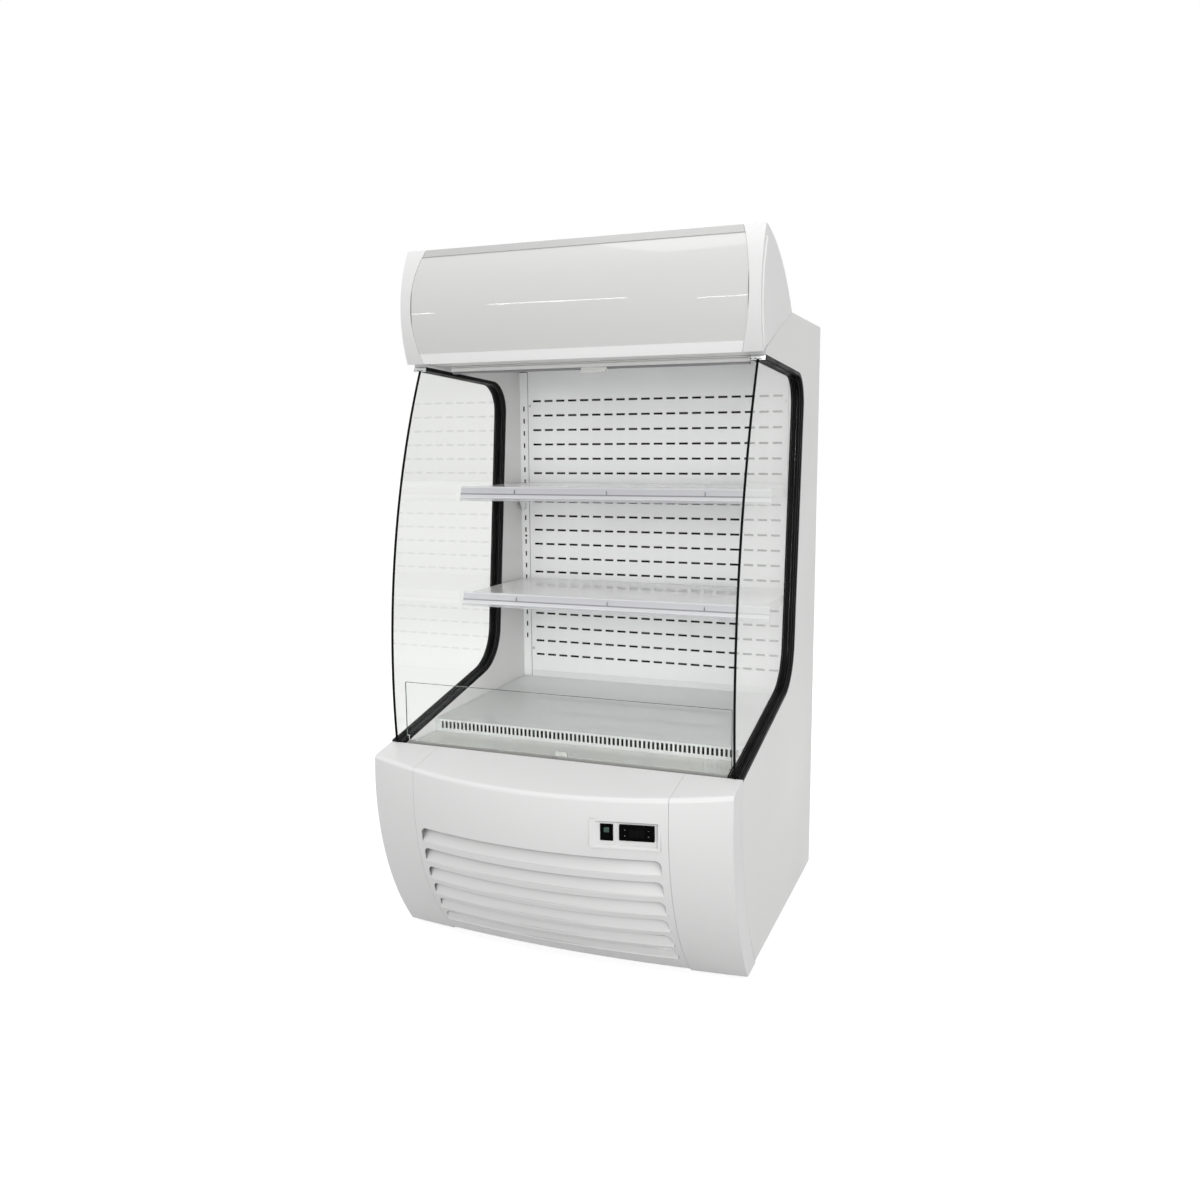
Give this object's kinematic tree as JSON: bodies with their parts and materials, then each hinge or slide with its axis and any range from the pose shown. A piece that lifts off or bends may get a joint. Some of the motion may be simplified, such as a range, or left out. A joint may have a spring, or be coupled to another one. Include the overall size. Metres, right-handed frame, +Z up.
{
  "type": "open multideck display fridge",
  "caption": "Open-front refrigerated display cabinet with glazed sides, lit canopy, shelves, night blind and louvred plinth.",
  "frame": {"origin": "on the floor, under the middle of the outer size", "axes": "+X to the right of someone facing the open front, +Y to the rear wall, +Z up"},
  "size_m": [0.906, 0.975, 1.714],
  "materials": {
    "air_outlet": "black cellular moulding",
    "back_duct_panel": "white coating",
    "back_wall": "white coating over foam",
    "base_cap_left": "fine satin moulding",
    "base_cap_right": "fine satin moulding",
    "base_frame": "galvanised grey",
    "blind_bar": "white profile",
    "blind_cloth": "fine woven blind",
    "blind_roller": "plain tube",
    "canopy_back": "smooth white coating",
    "canopy_bottom_rail": "smooth white coating",
    "canopy_cap_left": "fine satin moulding",
    "canopy_cap_right": "fine satin moulding",
    "canopy_diffuser": "opal, smooth",
    "canopy_top_rail": "smooth white coating",
    "canopy_underside": "smooth white coating",
    "ceiling_liner": "white coating",
    "compressor": "black enamel",
    "condenser": "thin fins",
    "condenser_fan": "grey moulding",
    "condenser_fan_shroud": "galvanised grey",
    "controller": "fine grain black",
    "controller_key_1": "soft grey key",
    "controller_key_2": "soft grey key",
    "controller_key_3": "soft grey key",
    "controller_key_4": "soft grey key",
    "deck_tray": "white coating",
    "drip_tray": "grey moulding",
    "electrical_box": "galvanised grey",
    "evaporator": "thin fins",
    "evaporator_fan_left": "black moulding",
    "evaporator_fan_plate": "plain sheet",
    "evaporator_fan_right": "black moulding",
    "glass_channel_left": "matte extruded rubber",
    "glass_channel_right": "matte extruded rubber",
    "glass_edge_strips": "satin black strip",
    "guard_glass": "clear toughened glass",
    "insulated_floor": "white coating over foam",
    "lamp_batten": "white coating",
    "lamp_tube": "opal glass tube",
    "levelling_feet": "black polymer on threaded stem",
    "louvred_panel": "smooth satin white",
    "price_rail_lower": "clear extrusion",
    "price_rail_upper": "clear extrusion",
    "rear_grille": "white coating",
    "return_grille": "white coating",
    "roof_panel": "white coating over foam",
    "shelf_brackets_lower": "white coating",
    "shelf_brackets_upper": "white coating",
    "shelf_lower": "white coating",
    "shelf_upper": "white coating",
    "shelf_uprights": "white coating",
    "side_glass_left": "clear toughened glass",
    "side_glass_right": "clear toughened glass",
    "side_panel_left": "smooth white coating over foam",
    "side_panel_right": "smooth white coating over foam",
    "sill_plate": "bare stainless sheet",
    "switch_body": "fine grain black",
    "switch_rocker": "smooth with translucent lens"
  },
  "bodies": {
    "cabinet": {"air_outlet": "air_outlet", "back_duct_panel": "back_duct_panel", "back_wall": "back_wall", "base_cap_left": "base_cap_left", "base_cap_right": "base_cap_right", "base_frame": "base_frame", "canopy_back": "canopy_back", "canopy_bottom_rail": "canopy_bottom_rail", "canopy_cap_left": "canopy_cap_left", "canopy_cap_right": "canopy_cap_right", "canopy_diffuser": "canopy_diffuser", "canopy_top_rail": "canopy_top_rail", "canopy_underside": "canopy_underside", "ceiling_liner": "ceiling_liner", "compressor": "compressor", "condenser": "condenser", "condenser_fan_shroud": "condenser_fan_shroud", "controller": "controller", "deck_tray": "deck_tray", "drip_tray": "drip_tray", "electrical_box": "electrical_box", "evaporator": "evaporator", "evaporator_fan_plate": "evaporator_fan_plate", "glass_channel_left": "glass_channel_left", "glass_channel_right": "glass_channel_right", "glass_edge_strips": "glass_edge_strips", "guard_glass": "guard_glass", "insulated_floor": "insulated_floor", "lamp_batten": "lamp_batten", "lamp_tube": "lamp_tube", "levelling_feet": "levelling_feet", "louvred_panel": "louvred_panel", "rear_grille": "rear_grille", "return_grille": "return_grille", "roof_panel": "roof_panel", "shelf_brackets_lower": "shelf_brackets_lower", "shelf_brackets_upper": "shelf_brackets_upper", "shelf_uprights": "shelf_uprights", "side_glass_left": "side_glass_left", "side_glass_right": "side_glass_right", "side_panel_left": "side_panel_left", "side_panel_right": "side_panel_right", "sill_plate": "sill_plate", "switch_body": "switch_body"},
    "blind": {"blind_bar": "blind_bar", "blind_cloth": "blind_cloth"},
    "blind_roller_tube": {"blind_roller": "blind_roller"},
    "upper_shelf": {"shelf_upper": "shelf_upper", "price_rail_upper": "price_rail_upper"},
    "lower_shelf": {"shelf_lower": "shelf_lower", "price_rail_lower": "price_rail_lower"},
    "rocker": {"switch_rocker": "switch_rocker"},
    "key_1": {"controller_key_1": "controller_key_1"},
    "key_2": {"controller_key_2": "controller_key_2"},
    "key_3": {"controller_key_3": "controller_key_3"},
    "key_4": {"controller_key_4": "controller_key_4"},
    "condenser_fan_rotor": {"condenser_fan": "condenser_fan"},
    "evaporator_fan_rotor_left": {"evaporator_fan_left": "evaporator_fan_left"},
    "evaporator_fan_rotor_right": {"evaporator_fan_right": "evaporator_fan_right"}
  },
  "joints": [
    {"name": "blind_pull", "type": "slide", "parent": "cabinet", "child": "blind", "axis": [0, -0.2362, -0.9717], "range_m": [0, 0.905], "stiffness_N_per_m": 10, "springref_m": -1, "deforming": ["blind_cloth"]},
    {"name": "blind_roller_turn", "type": "hinge", "parent": "cabinet", "child": "blind_roller_tube", "pos_m": [0, -0.0777, 1.4777], "axis": [1, 0, 0], "range_deg": [-2600, 0]},
    {"name": "upper_shelf_slide", "type": "slide", "parent": "cabinet", "child": "upper_shelf", "axis": [0, -1, 0], "range_m": [0, 0.3]},
    {"name": "lower_shelf_slide", "type": "slide", "parent": "cabinet", "child": "lower_shelf", "axis": [0, -1, 0], "range_m": [0, 0.3]},
    {"name": "rocker_tilt", "type": "hinge", "parent": "cabinet", "child": "rocker", "pos_m": [0.18295, -0.46792, 0.403], "axis": [0.9816, 0.1908, 0], "range_deg": [0, 9]},
    {"name": "key_1_press", "type": "slide", "parent": "cabinet", "child": "key_1", "axis": [-0.1908, 0.9816, 0], "range_m": [0, 0.0006], "stiffness_N_per_m": 300, "springref_m": -0.001},
    {"name": "key_2_press", "type": "slide", "parent": "cabinet", "child": "key_2", "axis": [-0.1908, 0.9816, 0], "range_m": [0, 0.0006], "stiffness_N_per_m": 300, "springref_m": -0.001},
    {"name": "key_3_press", "type": "slide", "parent": "cabinet", "child": "key_3", "axis": [-0.1908, 0.9816, 0], "range_m": [0, 0.0006], "stiffness_N_per_m": 300, "springref_m": -0.001},
    {"name": "key_4_press", "type": "slide", "parent": "cabinet", "child": "key_4", "axis": [-0.1908, 0.9816, 0], "range_m": [0, 0.0006], "stiffness_N_per_m": 300, "springref_m": -0.001},
    {"name": "condenser_fan_spin", "type": "hinge", "parent": "cabinet", "child": "condenser_fan_rotor", "pos_m": [0, -0.0875, 0.198], "axis": [0, 1, 0], "continuous": true},
    {"name": "evaporator_fan_spin_left", "type": "hinge", "parent": "cabinet", "child": "evaporator_fan_rotor_left", "pos_m": [-0.175, 0.0055, 0.458], "axis": [0, 1, 0], "continuous": true},
    {"name": "evaporator_fan_spin_right", "type": "hinge", "parent": "cabinet", "child": "evaporator_fan_rotor_right", "pos_m": [0.175, 0.0055, 0.458], "axis": [0, 1, 0], "continuous": true}
  ],
  "couplings": [
    {"joint": "blind_roller_turn", "follows": "blind_pull", "rad_per_m": -49.02}
  ]
}
